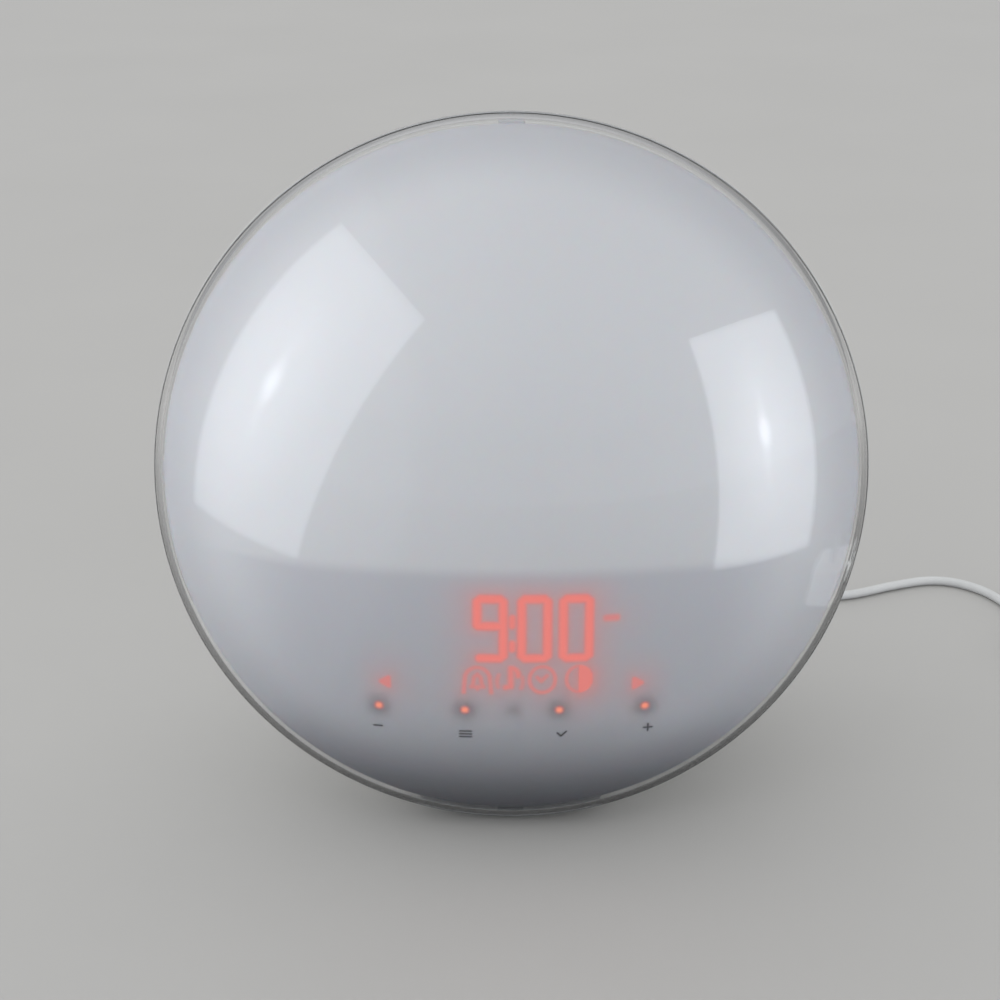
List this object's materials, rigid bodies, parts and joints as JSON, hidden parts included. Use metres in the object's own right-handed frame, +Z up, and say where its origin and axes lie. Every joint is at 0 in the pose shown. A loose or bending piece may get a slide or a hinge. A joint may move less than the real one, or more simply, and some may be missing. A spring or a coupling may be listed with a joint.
{
  "type": "sunrise alarm clock",
  "caption": "Round wake-up light and alarm clock: clear domed front over a milky diffuser with a red display, touch keys, a leaning rear housing with side keys, and a corded mains adapter",
  "frame": {"origin": "middle of the lamp's footprint, on the surface it stands on; the cord and its adapter are left out of it", "axes": "+Z up; the face looks along -Y and leans back 12 degrees; +X is to the right as seen from the front"},
  "size_m": [0.317, 0.1818, 0.1886],
  "materials": {
    "clear_cover": "clear moulded acrylic, polished",
    "milky_diffuser": "milky moulded acrylic, satin",
    "white_housing": "white ABS with a fine moulded texture",
    "white_reflector": "white moulded ABS",
    "light_grey_rubber": "moulded rubber",
    "plate_grey": "bare printed foil",
    "grille_white": "powder-coated perforated sheet",
    "board_white": "white solder mask on aluminium",
    "board_green": "green solder mask on FR4",
    "led_amber": "LED package with phosphor",
    "led_red": "red LED package",
    "heat_sink_metal": "extruded, natural",
    "display_black": "black moulded ABS",
    "display_light": "red diffusing insert",
    "conductive_foam": "conductive foam",
    "light_pipe": "clear red acrylic",
    "sensor_lens": "dark clear lens",
    "black_part": "black moulded nylon",
    "capacitor_sleeve": "shrink sleeve on aluminium",
    "connector_cream": "natural nylon",
    "ribbon_grey": "flat flexible cable",
    "steel": "zinc-plated",
    "magnet_dark": "ferrite and pole plate",
    "paper_cone": "pressed paper",
    "copper_winding": "enamelled copper wire",
    "key_white": "white ABS, satin",
    "cord_grey": "soft PVC sheath",
    "plug_grey": "moulded PVC",
    "adapter_white": "white polycarbonate",
    "pin_metal": "nickel-plated brass",
    "tie_dark": "black twist tie"
  },
  "bodies": {
    "lamp": {"front_cover": "clear_cover", "diffuser": "milky_diffuser", "front_foot": "light_grey_rubber", "rear_housing": "white_housing", "rear_feet": "light_grey_rubber", "rating_plate": "plate_grey", "speaker_grille": "grille_white", "reflector": "white_reflector", "light_baffle": "white_reflector", "led_board": "board_white", "leds": "led_amber", "heat_sink": "heat_sink_metal", "display_housing": "display_black", "display_inserts": "display_light", "display_board": "board_green", "display_leds": "led_red", "touch_pads": "conductive_foam", "key_lamps": "light_pipe", "light_sensor": "sensor_lens", "main_board": "board_green", "capacitors": "capacitor_sleeve", "board_chips": "black_part", "clock_backup": "steel", "board_connectors": "connector_cream", "display_ribbon": "ribbon_grey", "small_screws": "steel", "housing_screws": "steel", "speaker_gasket": "conductive_foam", "speaker_basket": "steel", "speaker_magnet": "magnet_dark", "speaker_surround": "conductive_foam", "key_boards": "board_green", "key_switches": "black_part", "supply_socket": "black_part", "supply_plug": "plug_grey", "plug_relief": "plug_grey", "adapter_body": "adapter_white", "adapter_cover": "adapter_white", "adapter_pins": "pin_metal", "adapter_relief": "plug_grey", "cord_lead": "cord_grey", "cord_tail": "cord_grey", "cord_coil": "cord_grey", "coil_tie": "tie_dark"},
    "alarm_one_button": {"alarm_one_key": "key_white", "alarm_one_plunger": "black_part"},
    "alarm_two_button": {"alarm_two_key": "key_white", "alarm_two_plunger": "black_part"},
    "light_button": {"light_key": "key_white", "light_plunger": "black_part"},
    "sound_button": {"sound_key": "key_white", "sound_plunger": "black_part"},
    "cone": {"speaker_cone": "paper_cone", "voice_coil": "copper_winding", "dust_cap": "paper_cone"}
  },
  "joints": [
    {"name": "alarm_one_press", "type": "slide", "parent": "lamp", "child": "alarm_one_button", "axis": [1, 0, 0], "range_m": [0, 0.0006], "stiffness_N_per_m": 800},
    {"name": "alarm_two_press", "type": "slide", "parent": "lamp", "child": "alarm_two_button", "axis": [1, 0, 0], "range_m": [0, 0.0006], "stiffness_N_per_m": 800},
    {"name": "light_press", "type": "slide", "parent": "lamp", "child": "light_button", "axis": [-1, 0, 0], "range_m": [0, 0.0006], "stiffness_N_per_m": 800},
    {"name": "sound_press", "type": "slide", "parent": "lamp", "child": "sound_button", "axis": [-1, 0, 0], "range_m": [0, 0.0006], "stiffness_N_per_m": 800},
    {"name": "cone_travel", "type": "slide", "parent": "lamp", "child": "cone", "axis": [0, 1, 0], "range_m": [-0.0008, 0.0008], "stiffness_N_per_m": 1500}
  ]
}
